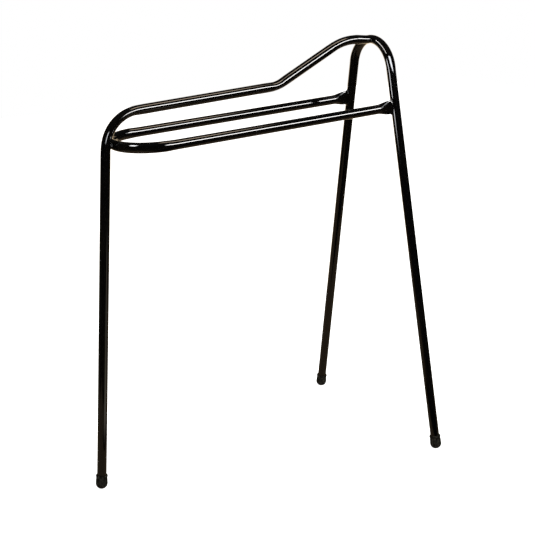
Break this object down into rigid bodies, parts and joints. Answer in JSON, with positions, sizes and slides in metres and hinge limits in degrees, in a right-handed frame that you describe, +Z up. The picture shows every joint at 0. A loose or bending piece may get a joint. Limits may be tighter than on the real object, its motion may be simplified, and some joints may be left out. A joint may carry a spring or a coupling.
{
  "type": "saddle stand",
  "caption": "Rigid welded tube stand on rubber feet that holds a riding saddle on a centre rail and side rails.",
  "frame": {"origin": "floor level, at the centre of the stand's footprint box", "axes": "+X from the single front leg to the rear arch, +Y to the stand's left, +Z up; the floor is z = 0"},
  "size_m": [0.7392, 0.471, 0.8971],
  "materials": {
    "enamel": "gloss black enamel",
    "weld": "enamelled weld bead",
    "rubber": "matte moulded rubber"
  },
  "bodies": {
    "root": {"spine_tube": "enamel", "rear_leg_arch": "enamel", "side_rail_loop": "enamel", "front_foot": "rubber", "left_rear_foot": "rubber", "right_rear_foot": "rubber", "crest_weld": "weld", "left_rail_weld_outer": "weld", "left_rail_weld_inner": "weld", "right_rail_weld_outer": "weld", "right_rail_weld_inner": "weld", "front_weld_left": "weld", "front_weld_right": "weld"}
  },
  "joints": []
}
